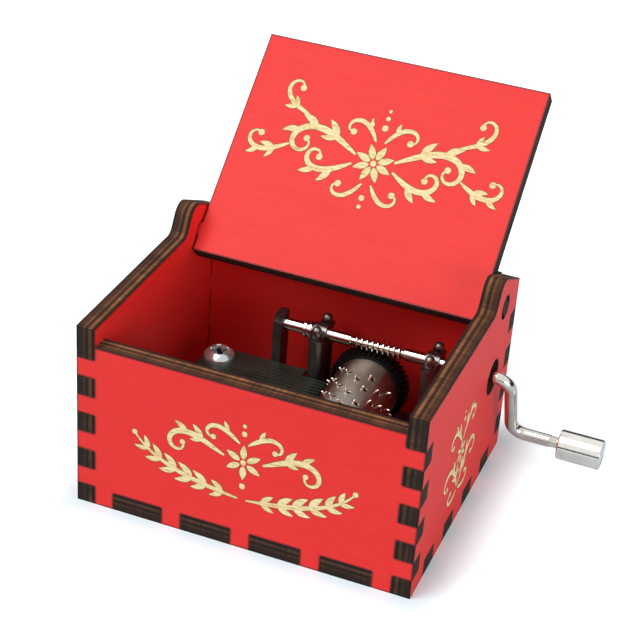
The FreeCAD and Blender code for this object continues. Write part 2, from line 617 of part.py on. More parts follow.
def nodes():
    return {
        "front_panel": end_panel((-HALF_Y, -INNER_Y), FRONT_TOP),
        "rear_panel": end_panel((INNER_Y, HALF_Y), REAR_TOP),
        "left_panel": side_panel((-HALF_X, -INNER_X)),
        "right_panel": right_panel(),
        "bottom_panel": bottom_panel(),
        "lid_panel": lid_panel(),
        "bedplate": bedplate(),
        "comb": comb(),
        "comb_weights": comb_weights(),
        "comb_screws": comb_screws(),
        "drum_bridge": drum_bridge(),
        "bridge_screw": bridge_screw(),
        "left_bearing_strap": bearing_strap(BEARING_X[0]),
        "right_bearing_strap": bearing_strap(BEARING_X[1]),
        "bearing_rivets": bearing_rivets(),
        "base_screws": base_screws(),
        "drum_sleeve": drum_sleeve(),
        "drum_front_cap": drum_front_cap(),
        "drum_arbor": drum_arbor(),
        "drive_gear": drive_gear(),
        "crank_shaft": crank_shaft(),
        "shaft_collar": shaft_collar(),
        "crank_knob": crank_knob(),
        "knob_end_cap": knob_end_cap(),
    }


def main():
    os.makedirs("parts", exist_ok=True)
    for name, shape in nodes().items():
        shape.exportStep(os.path.join("parts", name + ".step"))
        print(name, len(shape.Solids), "solids", round(shape.Volume, 2), "mm3", shape.isValid())
    print("lid opens to", round(lid_open_angle(), 3), "degrees, drum axis at", round(DRUM_Z, 3))


main()
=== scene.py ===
import math

import bmesh
import bpy
import numpy as np
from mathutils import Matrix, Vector


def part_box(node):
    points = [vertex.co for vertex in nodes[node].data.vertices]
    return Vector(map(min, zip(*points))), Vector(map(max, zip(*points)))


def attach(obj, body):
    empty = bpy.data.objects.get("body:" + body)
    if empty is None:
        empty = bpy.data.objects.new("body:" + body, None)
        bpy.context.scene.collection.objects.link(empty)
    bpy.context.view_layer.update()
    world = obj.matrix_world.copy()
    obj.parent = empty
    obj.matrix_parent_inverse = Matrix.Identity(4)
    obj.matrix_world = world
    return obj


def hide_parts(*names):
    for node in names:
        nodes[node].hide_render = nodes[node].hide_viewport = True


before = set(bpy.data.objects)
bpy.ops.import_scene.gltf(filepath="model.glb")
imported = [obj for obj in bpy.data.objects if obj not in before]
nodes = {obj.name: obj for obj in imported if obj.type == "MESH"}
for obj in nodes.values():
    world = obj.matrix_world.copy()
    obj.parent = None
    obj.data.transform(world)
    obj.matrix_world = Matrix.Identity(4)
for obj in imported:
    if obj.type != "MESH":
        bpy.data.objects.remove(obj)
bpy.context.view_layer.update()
mm = 0.001
print("frame loaded:", len(nodes), "CAD nodes")

# the places that several pieces share, in mm
case = dict(halfWidth=32.0, halfDepth=26.0)
movement = dict(shaftY=14.5, shaftZ=21.9, drumX=8.6, drumZ=13.4)
# points closer than merge, in mm, become one, and edges that turn by more than sharp, in degrees, stay hard
meshing = dict(merge=0.0008, sharp=38)


def unit(vector):
    vector = np.asarray(vector, float)
    return vector / np.linalg.norm(vector)


def ease(value):
    # a soft step: 3v^2 - 2v^3 of the value, held between 0 and 1
    value = np.clip(value, 0, 1)
    return value * value * (3 - 2 * value)


def gridFaces(rows, cols, wrapRows, wrapCols):
    # one quad for each cell of a grid of points, joined round where a direction wraps
    row, col = np.meshgrid(np.arange(rows - (not wrapRows)), np.arange(cols - (not wrapCols)), indexing="ij")
    below, beside = (row + 1) % rows, (col + 1) % cols
    corners = [row * cols + col, row * cols + beside, below * cols + beside, below * cols + col]
    return np.stack(corners, -1).reshape(-1, 4)


def gridMesh(name, grids):
    # grids are (points in mm, wrapRows, wrapCols), set one after another into one mesh
    points = np.concatenate([grid.reshape(-1, 3) for grid, _, _ in grids])
    starts = np.cumsum([0] + [grid.shape[0] * grid.shape[1] for grid, _, _ in grids])
    faces = np.concatenate([gridFaces(*grid.shape[:2], *wraps) + start
                            for (grid, *wraps), start in zip(grids, starts)])
    mesh = bpy.data.meshes.new(name)
    mesh.from_pydata((points * mm).tolist(), [], faces.tolist())
    return mesh


def markPoints(mesh, name, values):
    mesh.attributes.new(name, "FLOAT", "POINT").data.foreach_set("value", values)


def showMesh(name, mesh, finish):
    mesh.materials.append(finish)
    piece = bpy.data.objects.new(name, mesh)
    bpy.context.collection.objects.link(piece)
    return piece


def makePiece(name, grids, finish, body, replaced, recess=None):
    # merged doubles close the seams and poles, then the faces are turned outwards. recess, where given, is 1
    # at the points that lie in one
    mesh = gridMesh(name, grids)
    if recess is not None:
        markPoints(mesh, "recess", recess)
    shape = bmesh.new()
    shape.from_mesh(mesh)
    bmesh.ops.remove_doubles(shape, verts=shape.verts, dist=meshing["merge"] * mm)
    bmesh.ops.recalc_face_normals(shape, faces=shape.faces)
    shape.to_mesh(mesh)
    shape.free()
    mesh.shade_smooth()
    mesh.set_sharp_from_angle(angle=math.radians(meshing["sharp"]))
    piece = showMesh(name, mesh, finish)
    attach(piece, body)
    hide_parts(replaced)


def turned(profile, foot, axis, segments=64):
    # a profile of (distance along the axis, radius) carried round the axis, from a side that is square to it
    profile, axis = np.asarray(profile, float), unit(axis)
    side = unit(np.cross(axis, [0.3, 0.5, 0.8]))
    turn = np.linspace(0, 2 * np.pi, segments, endpoint=False)
    ring = np.outer(np.cos(turn), side) + np.outer(np.sin(turn), np.cross(axis, side))
    return np.asarray(foot, float) + profile[:, :1, None] * axis + profile[:, 1:, None] * ring


def linear(hexText):
    # sRGB hex to the linear colour that shaders take
    parts = [int(hexText[i:i + 2], 16) / 255 for i in (1, 3, 5)]
    return tuple(p / 12.92 if p <= 0.04045 else ((p + 0.055) / 1.055) ** 2.4 for p in parts) + (1.0,)


def addNode(tree, kind, inputs, stops=(), **settings):
    # one node with its settings, its inputs as sockets to link or values to set and, on a ramp, its colours
    node = tree.nodes.new("ShaderNode" + kind)
    for key, value in settings.items():
        setattr(node, key, value)
    feed(tree, node, inputs)
    for i, (place, colour) in enumerate(stops):
        stop = node.color_ramp.elements[i] if i < 2 else node.color_ramp.elements.new(place)
        stop.position, stop.color = place, linear(colour)
    return node


def feed(tree, node, inputs):
    for key, value in inputs.items():
        if isinstance(value, bpy.types.NodeSocket):
            tree.links.new(value, node.inputs[key])
        else:
            node.inputs[key].default_value = value


def calc(tree, operation, *terms):
    return addNode(tree, "Math", dict(enumerate(terms)), operation=operation).outputs[0]


def vectorCalc(tree, operation, *terms):
    # an operation on vectors, which gives a number where it is a dot product or a length
    node = addNode(tree, "VectorMath", dict(enumerate(terms)), operation=operation)
    return node.outputs["Value" if operation in ("DOT_PRODUCT", "LENGTH") else "Vector"]


def ranged(tree, value, ends, given=(0, 1), **settings):
    # the value, taken from the given range to the range with these ends
    keys = ("Value", "From Min", "From Max", "To Min", "To Max")
    return addNode(tree, "MapRange", dict(zip(keys, (value, *given, *ends))), **settings).outputs[0]


def ramp(tree, value, stops):
    return addNode(tree, "ValToRGB", {"Fac": value}, stops).outputs[0]


def mixed(tree, factor, first, second):
    # two colours as sockets or sRGB hex, the first at factor 0 and the second at 1
    colours = [linear(colour) if isinstance(colour, str) else colour for colour in (first, second)]
    node = addNode(tree, "Mix", {"Factor": factor, 6: colours[0], 7: colours[1]}, data_type="RGBA")
    return node.outputs[2]


def mottle(tree, place, size, detail):
    # noise with lumps of about the given size in mm
    return addNode(tree, "TexNoise", {"Vector": place, "Scale": 1 / (size * mm), "Detail": detail}).outputs[0]


def drawnNoise(tree, place, scale, **inputs):
    # noise that is drawn out, with a scale for each axis
    stretched = addNode(tree, "Mapping", {"Vector": place, "Scale": scale}).outputs[0]
    return addNode(tree, "TexNoise", {"Vector": stretched, "Scale": 1.0, **inputs}).outputs[0]


def relief(tree, height, strength, distance):
    # a bump of the given distance in mm
    inputs = {"Height": height, "Strength": strength, "Distance": distance * mm}
    return addNode(tree, "Bump", inputs).outputs[0]


def startFinish(name, inputs):
    # a material with its shader, and the object's own coordinates
    material = bpy.data.materials.new(name)
    material.use_nodes = True
    tree = material.node_tree
    tree.nodes.clear()
    shader = addNode(tree, "BsdfPrincipled", inputs)
    addNode(tree, "OutputMaterial", {"Surface": shader.outputs[0]})
    return material, tree, shader, addNode(tree, "TexCoord", {}).outputs


def stainedPlywood(name, across, face, grain):
    # birch plywood, dyed red and laser-cut: a matt even red with faint grain on the faces, scorched dark
    # along their edges, and on the cut edges dark glue lines between browned veneers. across runs from the
    # outer face in
    across = unit(across)
    material, tree, shader, coords = startFinish(name, {"IOR": 1.5, "Specular IOR Level": plywood["sheen"]})
    place, normal = coords["Object"], coords["Normal"]
    depth = vectorCalc(tree, "DOT_PRODUCT", place, across)
    layer = ranged(tree, depth, (0, 1), (face * mm, (face + plywood["thick"]) * mm))
    facing = calc(tree, "ABSOLUTE", vectorCalc(tree, "DOT_PRODUCT", normal, across))
    onFace = calc(tree, "GREATER_THAN", facing, plywood["faceFrom"])
    # fibres run along the grain, and the dye takes unevenly in patches
    fibre = [1 / (plywood["fibreLong" if along else "fibreWide"] * mm) for along in grain]
    fibres = drawnNoise(tree, place, fibre, Detail=4.0, Roughness=0.6)
    patch = mottle(tree, place, plywood["patch"], detail=3.0)
    red = ramp(tree, calc(tree, "MULTIPLY_ADD", patch, plywood["patchShare"], fibres), plywood["reds"])
    # soot from the beam: where a small bevel would turn the normal, the face is close to a cut
    rounded = addNode(tree, "Bevel", {"Radius": plywood["soot"] * mm}, samples=plywood["sootRays"]).outputs[0]
    flat = addNode(tree, "NewGeometry", {}).outputs["True Normal"]
    clear = ranged(tree, vectorCalc(tree, "DOT_PRODUCT", rounded, flat), (0, 1), plywood["sootTurn"])
    sooty = mixed(tree, clear, plywood["sootColour"], red)
    # the veneers through the thickness, as the cut shows them
    veneer = ramp(tree, layer, plywood["veneers"])
    # scorch streaks of the beam run through the thickness, and some stretches are burnt more than others
    streakScale = [(1 - abs(share)) / (plywood["streak"] * mm) for share in across]
    streak = drawnNoise(tree, place, streakScale, Detail=2.0)
    burn = calc(tree, "MULTIPLY", streak, mottle(tree, place, plywood["burnt"], detail=2.0))
    shade = ranged(tree, burn, plywood["burnShade"], plywood["burnRange"])
    # painted light: cut edges that face up are drawn lighter and those that face down darker, as light from
    # above falls on them
    upward = addNode(tree, "SeparateXYZ", {0: normal}).outputs["Z"]
    shade = calc(tree, "MULTIPLY", shade, ranged(tree, upward, plywood["paintedTopLight"]))
    scorched = addNode(tree, "VectorMath", {0: veneer, "Scale": shade}, operation="SCALE").outputs[0]
    feed(tree, shader, {
        "Base Color": mixed(tree, onFace, scorched, sooty),
        "Roughness": ranged(tree, onFace, (plywood["cutRough"], plywood["faceRough"])),
        "Normal": relief(tree, fibres, strength=0.1, distance=plywood["fibreHeight"]),
    })
    return material


def metalFinish(name, pale, dark, roughness, grit, spread, height, lines=(1, 1, 1), metallic=1.0):
    # a bare or plated metal: two tones in patches of the spread size, and a grit of the given size and height
    # in mm that is drawn out where lines are under 1. An oxide or passivated skin is less metallic than the
    # metal
    material, tree, shader, coords = startFinish(name, {"Metallic": metallic})
    tone = ramp(tree, mottle(tree, coords["Object"], spread, detail=3.0), [(0.32, dark), (0.68, pale)])
    grain = drawnNoise(tree, coords["Object"], [line / (grit * mm) for line in lines], Detail=3.0)
    rough = ranged(tree, grain, ends=(roughness * 0.75, roughness * 1.3))
    bump = relief(tree, grain, strength=0.5, distance=height)
    feed(tree, shader, {"Base Color": tone, "Roughness": rough, "Normal": bump})
    return material, tree, shader, coords, tone, rough


def dress(finish, *names):
    for name in names:
        nodes[name].data.materials.clear()
        nodes[name].data.materials.append(finish)


# plywood case: the dyed sheet, with its sizes in mm and its colours through the thickness
plywood = dict(
    thick=3.5, fibreLong=14.0, fibreWide=0.5, patch=9.0, patchShare=0.45, streak=0.35, burnt=4.0, soot=0.7,
    sootTurn=(0.92, 0.999), sootColour="#2E0B07", burnRange=(0.12, 0.40), burnShade=(0.45, 1.6),
    paintedTopLight=(0.38, 1.5), cutRough=0.85, faceRough=0.52, faceFrom=0.6, fibreHeight=0.06, sheen=0.33, sootRays=6,
    reds=[(0.42, "#DF2622"), (1.0, "#EC2E29"), (0.62, "#E52824"), (0.76, "#E72A26")],
    veneers=[(0.0, "#140805"), (1.0, "#140805"), (0.08, "#2E180E"), (0.20, "#3E2516"), (0.33, "#3A2113"),
             (0.39, "#5A3922"), (0.46, "#583821"), (0.52, "#241009"), (0.62, "#2E180E"), (0.69, "#6C4528"),
             (0.78, "#764D2F"), (0.85, "#2E180E"), (0.92, "#1A0B06")],
)
# each panel's thickness from its outer face in, where that face lies, and its grain
panels = dict(
    front_panel=dict(across=(0, 1, 0), face=-case["halfDepth"], grain=(1, 0, 0)),
    rear_panel=dict(across=(0, -1, 0), face=-case["halfDepth"], grain=(1, 0, 0)),
    left_panel=dict(across=(1, 0, 0), face=-case["halfWidth"], grain=(0, 1, 0)),
    right_panel=dict(across=(-1, 0, 0), face=-case["halfWidth"], grain=(0, 1, 0)),
    bottom_panel=dict(across=(0, 0, 1), face=0.0, grain=(1, 0, 0)),
)
lid = dict(pivot=(0, 17.5, 35.2), angle=42.167, half=1.75)
lidUp = np.array([0, math.cos(math.radians(lid["angle"])), math.sin(math.radians(lid["angle"]))])
lidOut = np.array([0, -lidUp[2], lidUp[1]])
panels["lid_panel"] = dict(across=lidOut, face=float(lidOut @ lid["pivot"]) - lid["half"], grain=(1, 0, 0))
for name, panel in panels.items():
    dress(stainedPlywood("stained_birch_plywood_" + name, **panel), name)
print("case dressed")

# metals of the movement, with their sizes in mm
metals = dict(
    polished_nickel_plate=dict(
        pale="#EFECE6", dark="#E2DED6", roughness=0.14, grit=0.25, spread=3.0, height=0.0006),
    drawn_wire_nickel_plate=dict(
        pale="#DDD9D1", dark="#CCC7BE", roughness=0.13, grit=0.25, spread=3.0, height=0.0006),
    die_cast_zinc_alloy=dict(
        pale="#787672", dark="#605E5B", roughness=0.44, grit=0.3, spread=3.0, height=0.02),
    hardened_comb_steel_blackened=dict(
        pale="#3C4239", dark="#2C312A", roughness=0.36, grit=0.3, spread=5.0, height=0.006,
        lines=(0.08, 1, 1), metallic=0.4),
    blackened_spring_steel=dict(
        pale="#8B8580", dark="#6C6763", roughness=0.34, grit=0.25, spread=2.0, height=0.008),
    soldered_lead=dict(
        pale="#75777A", dark="#5F6163", roughness=0.5, grit=0.4, spread=1.5, height=0.02),
    rolled_nickelled_brass=dict(
        pale="#BDB3A5", dark="#A2998C", roughness=0.33, grit=0.22, spread=4.0, height=0.006,
        lines=(0.06, 1, 0.06)),
    passivated_zinc_plate=dict(
        pale="#DCE4E2", dark="#C8D1CF", roughness=0.19, grit=0.2, spread=2.0, height=0.0008, metallic=0.75),
)


def plainMetal(name):
    return metalFinish(name, **metals[name])[0]


def mouldedAcetal(name):
    # injection-moulded black acetal: satin, with a faint flow mottle
    material, tree, shader, coords = startFinish(name, {"IOR": 1.48, "Specular IOR Level": 0.22})
    flow = mottle(tree, coords["Object"], size=2.0, detail=2.0)
    tone = ramp(tree, flow, [(0.3, "#050606"), (0.7, "#0B0C0C")])
    feed(tree, shader, {"Base Color": tone, "Roughness": ranged(tree, flow, ends=(0.42, 0.6))})
    return material


nickel = plainMetal("polished_nickel_plate")
blackSteel = plainMetal("blackened_spring_steel")
dress(plainMetal("die_cast_zinc_alloy"), "bedplate")
dress(plainMetal("hardened_comb_steel_blackened"), "comb")
dress(plainMetal("soldered_lead"), "comb_weights")
dress(blackSteel, "left_bearing_strap", "right_bearing_strap", "drum_bridge")
dress(mouldedAcetal("moulded_black_acetal"), "drive_gear")
print("movement dressed")

# crank: one bent wire with a rolled worm, from its left end to the head inside the knob
crank = dict(
    left=-10.7, radius=1.2, armX=35.5, arm=16.0, lean=22.8, bend=3.0, bendRings=15, runRings=12,
    neckX=43.4, neckRadius=1.05, headX=51.0, headRadius=1.45, end=51.7, endChamfer=0.25, shoulder=0.3,
    support=0.05, wormX=(4.3015, 15.0119), wormLeft=4.9015, pitch=1.056716, turns=9, runOut=0.15,
    root=0.8, tip=1.4, pitchRadius=1.1, threadShare=0.42, flank=20.0, step=0.04, segments=64,
)
leanAngle = math.radians(crank["lean"])
xAxis = np.array([1.0, 0, 0])
armWay = np.array([0, math.sin(leanAngle), -math.cos(leanAngle)])
shaftCentre = np.array([0, movement["shaftY"], movement["shaftZ"]])
knobCentre = shaftCentre + armWay * crank["arm"]


def threadRadii(wormX, turn):
    # the thread's radius at each place along the worm and round it: the flank's straight line of the distance
    # to the nearest turn, held between root and tip, and run out at both ends
    share = (turn + leanAngle) / (2 * np.pi)
    reach = (wormX[:, None] - crank["wormLeft"]) / crank["pitch"] - share
    nearest = np.round(reach)
    number = nearest + share
    ends = ease(number / crank["runOut"]) * ease((crank["turns"] - number) / crank["runOut"])
    inside = crank["pitch"] * (crank["threadShare"] / 2 - np.abs(reach - nearest))
    rise = crank["pitchRadius"] + inside / math.tan(math.radians(crank["flank"]))
    return crank["root"] + (np.clip(rise, crank["root"], crank["tip"]) - crank["root"]) * ends


def crankSurface():
    # a ring carried along runs and quarter bends in one plane, whose radius follows the thread on the worm
    left, cut, full, root = (crank[key] for key in ("left", "endChamfer", "radius", "root"))
    armX, arm, bend = (crank[key] for key in ("armX", "arm", "bend"))
    neckX, neck, headX, head = (crank[key] for key in ("neckX", "neckRadius", "headX", "headRadius"))
    wormStart, wormEnd = crank["wormX"]
    side = np.cross(xAxis, armWay)
    quarter = np.linspace(0, np.pi / 2, crank["bendRings"])[:, None]
    wormX = np.arange(wormStart, wormEnd, crank["step"])
    firstX, firstR = [left, left, left + cut, wormStart], [0, full - cut, full, full]
    plainX = np.linspace(wormEnd + crank["support"], armX - bend, crank["runRings"])
    runX = np.concatenate([firstX, wormX, [wormEnd, wormEnd], plainX])
    runR = np.concatenate([firstR, np.full(len(wormX), root), [root, full], np.full(len(plainX), full)])
    straight = shaftCentre + runX[:, None] * xAxis
    bendOne = shaftCentre + xAxis * (armX - bend) + armWay * bend + bend * (
        np.sin(quarter) * xAxis - np.cos(quarter) * armWay)
    bendTwo = shaftCentre + armWay * (arm - bend) + xAxis * (armX + bend) + bend * (
        -np.cos(quarter) * xAxis + np.sin(quarter) * armWay)
    shoulder = neckX - crank["shoulder"]
    lastX = np.array([shoulder - crank["support"], shoulder, neckX, headX, headX, crank["end"], crank["end"]])
    last = knobCentre + lastX[:, None] * xAxis
    centre = np.concatenate([straight, bendOne, bendTwo, last])
    radius = np.concatenate([runR, np.full(2 * len(quarter), full), [full, full, neck, neck, head, head, 0]])
    along = np.concatenate([np.repeat(xAxis[None], len(straight), 0),
                            np.cos(quarter) * xAxis + np.sin(quarter) * armWay,
                            np.sin(quarter) * xAxis + np.cos(quarter) * armWay,
                            np.repeat(xAxis[None], len(last), 0)])
    across = np.cross(side, along)
    turn = np.linspace(0, 2 * np.pi, crank["segments"], endpoint=False)
    radii = np.repeat(radius[:, None], len(turn), 1)
    radii[len(firstX):len(firstX) + len(wormX)] = threadRadii(wormX, turn)
    ring = np.cos(turn)[None, :, None] * across[:, None] + np.sin(turn)[None, :, None] * side
    return centre[:, None] + radii[:, :, None] * ring


makePiece("crank_wire", [(crankSurface(), False, True)], plainMetal("drawn_wire_nickel_plate"), "crank",
          "crank_shaft")

# collar on the shaft, two lands and a groove, with broken corners
collar = dict(x=(-5.0, -3.4), radius=1.75, groove=0.35, bore=1.2, corner=0.08)
width, land, corner = collar["x"][1] - collar["x"][0], collar["radius"], collar["corner"]
third, waist, broken = width / 3, land - collar["groove"], land - corner
collarLine = [
    (0, collar["bore"]), (0, broken), (corner, land), (third - corner, land), (third, broken), (third, waist),
    (2 * third, waist), (2 * third, broken), (2 * third + corner, land), (width - corner, land),
    (width, broken), (width, collar["bore"]),
]
collarGrid = turned(collarLine, shaftCentre + xAxis * collar["x"][0], xAxis)
makePiece("turned_collar", [(collarGrid, True, True)], nickel, "crank", "shaft_collar")

# knob: a turned barrel with chamfered ends, bored for the neck, and its flush outer cap
knob = dict(x=(45.0, 53.3), radius=2.87, chamfer=0.25, bore=1.1, pocket=2.0, pocketX=51.0, cap=0.9,
            corner=0.1, play=0.02, soft=0.3, support=1.1, segments=96)
length, barrel, pocket = knob["x"][1] - knob["x"][0], knob["radius"], knob["pocket"]
chamfer, corner, floorX = knob["chamfer"], knob["corner"], knob["pocketX"] - knob["x"][0]
# each end of the barrel as (distance in, distance below the barrel), from its face inwards. The last ring,
# just inside the chamfer, keeps the barrel's reflections straight
soft, support = chamfer * knob["soft"], chamfer * knob["support"]
knobEnd = [(0, chamfer), (soft, soft), (chamfer, 0), (support, 0)]
knobLine = [(0, knob["bore"])] + [(x, barrel - drop) for x, drop in knobEnd]
knobLine += [(length - x, barrel - drop) for x, drop in reversed(knobEnd)]
knobLine += [(length, pocket + corner), (length - corner, pocket), (floorX, pocket), (floorX, knob["bore"])]
knobFoot = knobCentre + xAxis * knob["x"][0]
knobGrid = turned(knobLine, knobFoot, xAxis, knob["segments"])
makePiece("turned_knob", [(knobGrid, True, True)], nickel, "knob", "crank_knob")
capFoot, capTop, capRadius = length - knob["cap"], length - knob["play"], pocket - knob["play"]
capLine = [(capFoot, 0), (capFoot, capRadius), (length - corner, capRadius), (capTop, pocket - corner),
           (capTop, 0)]
capGrid = turned(capLine, knobFoot, xAxis)
makePiece("pressed_knob_cap", [(capGrid, False, True)], nickel, "knob", "knob_end_cap")
print("crank and knob made")

# drum: a rolled tube whose pins are punched out of it, each beside the hole that it came from. Over the inner
# radii given below its colour goes dark, a painted shade in the holes, and over the outer ones it goes
# bright, a painted highlight on the pins' tips
drum = dict(
    y=(-8.6, 12.7), radius=6.3, wall=0.4, around=336, lengthwise=180,
    pins=66, pinTurn=63.5, trackStep=7, trackShift=7, tracks=18, firstTrack=-7.5, pitch=0.98,
    pinRadius=0.25, pinHeight=0.65, pinRoot=0.15, pinFoot=1.15, pinSides=10,
    holeBeside=0.64, holeRadius=0.33, holeDepth=0.34, holeEdge=0.25, holeShadeRadii=(6.1, 6.27),
    pinHighlightRadii=(6.36, 6.45), holeShadeColour="#0B0908", pinHighlightColour="#F1EDE6", pinHighlightRough=0.2,
)


def drumSurface():
    # radius less a soft-edged dent at each hole, on a grid of angle and length, closed through the bore
    number = np.arange(drum["pins"])
    pinTurn = np.radians(drum["pinTurn"]) * number
    track = (number * drum["trackStep"] + number // drum["trackShift"]) % drum["tracks"]
    pinY = drum["firstTrack"] + (track + 0.5) * drum["pitch"]
    turn = np.linspace(0, 2 * np.pi, drum["around"], endpoint=False)
    y = np.linspace(*drum["y"], drum["lengthwise"])
    radius = np.full((len(y), len(turn)), drum["radius"])
    soft = drum["holeEdge"]
    for holeTurn, holeY in zip(pinTurn + drum["holeBeside"] / drum["radius"], pinY):
        around = (turn - holeTurn + np.pi) % (2 * np.pi) - np.pi
        away = np.hypot(around[None] * drum["radius"], y[:, None] - holeY) / drum["holeRadius"]
        radius -= drum["holeDepth"] * ease((1 + soft - away) / (2 * soft))
    bore = np.full((2, len(turn)), drum["radius"] - drum["wall"])
    radius = np.concatenate([radius, bore])
    y = np.concatenate([y, drum["y"][::-1]])
    way = np.stack([np.sin(turn), np.zeros(len(turn)), np.cos(turn)], -1)
    axis = np.array([movement["drumX"], 0, movement["drumZ"]])
    tube = axis + y[:, None, None] * [0, 1, 0] + radius[:, :, None] * way[None]
    # pins: a round peg with a domed tip
    root, wide, tall = drum["pinRoot"], drum["pinRadius"], drum["pinHeight"]
    peg = [(-root, 0), (-root, wide * drum["pinFoot"]), (tall - wide, wide), (tall - wide * 0.5, wide * 0.87),
           (tall - wide * 0.13, wide * 0.5), (tall, 0)]
    grids = [(tube, True, True)]
    for angle, alongY in zip(pinTurn, pinY):
        out = np.array([math.sin(angle), 0, math.cos(angle)])
        foot = axis + [0, alongY, 0] + out * drum["radius"]
        grids.append((turned(peg, foot, out, drum["pinSides"]), False, True))
    return grids


def drumFinish(name):
    # rolled nickel-plated brass, brushed round by its turning, with painted shade down in the punched holes
    material, tree, shader, coords, tone, satin = metalFinish(name, **metals[name])
    axis = (movement["drumX"] * mm, 0, movement["drumZ"] * mm)
    offset = vectorCalc(tree, "SUBTRACT", coords["Object"], axis)
    reach = vectorCalc(tree, "LENGTH", vectorCalc(tree, "MULTIPLY", offset, (1, 0, 1)))
    # painted shade: the colour goes dark towards the bottom of the holes
    holeShade = ranged(tree, reach, (0, 1), [radius * mm for radius in drum["holeShadeRadii"]])
    colour = mixed(tree, holeShade, drum["holeShadeColour"], tone)
    # painted highlight: the pins' ends are drawn bright and glossy
    pinHighlight = ranged(tree, reach, (0, 1), [radius * mm for radius in drum["pinHighlightRadii"]])
    # fine lines round the drum stretch each highlight along it
    around = addNode(tree, "Tangent", {}, direction_type="RADIAL", axis="Y").outputs[0]
    feed(tree, shader, {
        "Base Color": mixed(tree, pinHighlight, colour, drum["pinHighlightColour"]),
        "Roughness": ranged(tree, pinHighlight, (satin, drum["pinHighlightRough"])),
        "Anisotropic": 0.85, "Anisotropic Rotation": 0.25, "Tangent": around,
    })
    return material


drumMetal = drumFinish("rolled_nickelled_brass")
makePiece("pinned_drum", drumSurface(), drumMetal, "drum", "drum_sleeve")
dress(drumMetal, "drum_front_cap", "drum_arbor")
print("drum made with", drum["pins"], "pins")

# a pan head's form, as shares of its radius, apart from the fall, which is a share of its height
panHead = dict(rings=56, around=112, flat=0.4, fall=0.56, power=2.3, arm=0.62, armSlope=0.24, half=0.18,
               slope=0.08, depth=0.5, funnel=0.4, funnelPower=0.7)


def screwHead(at, up, radius, height, turn):
    # flat in the middle, then falling to its rim with a power of the way there, less a cross recess with
    # sloping arms round a funnel
    up, at = unit(up), np.asarray(at, float)
    share = np.sin(np.linspace(0, np.pi / 2, panHead["rings"]))[:, None]
    angle = np.linspace(0, 2 * np.pi, panHead["around"], endpoint=False)
    u, v = np.abs(share * np.cos(angle - turn)), np.abs(share * np.sin(angle - turn))
    arms = [ease((panHead["half"] - beside) / panHead["slope"])
            * ease((panHead["arm"] - along) / panHead["armSlope"]) for along, beside in ((u, v), (v, u))]
    funnel = (1 - share / panHead["funnel"]).clip(0) ** panHead["funnelPower"]
    cut = np.maximum(np.maximum(*arms), funnel)
    outer = ((share - panHead["flat"]) / (1 - panHead["flat"])).clip(0)
    z = height * (1 - panHead["fall"] * outer ** panHead["power"]) - panHead["depth"] * radius * cut
    side = unit(np.cross(up, [0, 1, 0.001]))
    ring = np.outer(np.cos(angle), side) + np.outer(np.sin(angle), np.cross(up, side))
    top = at + radius * share[..., None] * ring + z[..., None] * up
    foot = at + radius * ring
    under = np.repeat(at[None], len(angle), 0)
    return np.concatenate([top, [foot, under]]), np.concatenate([cut, np.zeros((2, len(angle)))])


def zincPlate(name):
    # zinc plate with a clear passivated skin: bright with a cool cast, and painted shade down in the recess
    material, tree, shader, _, tone, _ = metalFinish(name, **metals[name])
    inside = addNode(tree, "Attribute", {}, attribute_name="recess").outputs["Fac"]
    # painted shade: the points in the recess are drawn dark green-black
    recessShade = ranged(tree, inside, (0, 1), given=(0.15, 0.7))
    feed(tree, shader, {"Base Color": mixed(tree, recessShade, tone, "#12211D")})
    return material


screwZinc = zincPlate("passivated_zinc_plate")


def screwPiece(name, screws, up, replaced):
    heads = [screwHead(at, up, screws["radius"], screws["height"], turn)
             for at, turn in zip(screws["at"], screws["turns"])]
    makePiece(name, [(grid, False, True) for grid, _ in heads], screwZinc, "case", replaced,
              np.concatenate([cut.ravel() for _, cut in heads]))


# comb screws, the drum bridge's screw and the two screws from below
combScrews = dict(at=((-20.0, 8.6, 14.2), (-20.0, -3.8, 14.2)), radius=2.95, height=2.0, turns=(0.5, 1.1))
bridgeScrew = dict(radius=1.5, height=1.0, turns=(0.3,))
baseScrews = dict(at=((19.0, -12.6, 1.9), (-6.2, 16.6, 1.9)), radius=2.2, height=1.5, turns=(0.2, 0.9))
low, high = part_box("bridge_screw")
bridgeTop = np.array([(low.x + high.x) / 2, (low.y + high.y) / 2, high.z]) / mm
bridgeScrew["at"] = [bridgeTop - [0, 0, bridgeScrew["height"]]]
screwPiece("comb_pan_screws", combScrews, (0, 0, 1), "comb_screws")
screwPiece("bridge_pan_screw", bridgeScrew, (0, 0, 1), "bridge_screw")
screwPiece("base_pan_screws", baseScrews, (0, 0, -1), "base_screws")

# rivets over the bearing straps: the columns' studs, set over as tall domes
rivets = dict(x=(-1.75, 20.6), y=(11.75, 17.25), seat=22.5, segments=32,
              line=((0, 0), (0, 0.93), (0.2, 0.97), (1.1, 0.97), (1.4, 0.925), (1.65, 0.81), (1.85, 0.64),
                    (2.0, 0.42), (2.08, 0.2), (2.1, 0)))
rivetGrids = [(turned(rivets["line"], (x, y, rivets["seat"]), (0, 0, 1), rivets["segments"]), False, True)
              for x in rivets["x"] for y in rivets["y"]]
makePiece("domed_rivets", rivetGrids, blackSteel, "case", "bearing_rivets")
print("screws and rivets made")

# ornament: traditional scrolls and leaves, lasered through the dye to the pale birch, on the lid and two
# sides. Heights, the edge, flecks and raster are in mm, and the widths, gap and eye are shares of a size
engraving = dict(
    lift=0.02, liftStep=0.0006, liftSteps=24, rimLift=0.25, edge=0.16, leafTurn=48, leafBend=0.16,
    leafWidth=0.34, leafSteps=20, petalGap=0.28, petalWidth=0.42, eye=0.19, dotSteps=14,
    fleck=0.7, fleckShare=0.6, raster=0.3, rasterLong=3.0, borderColour="#6E2F16",
)


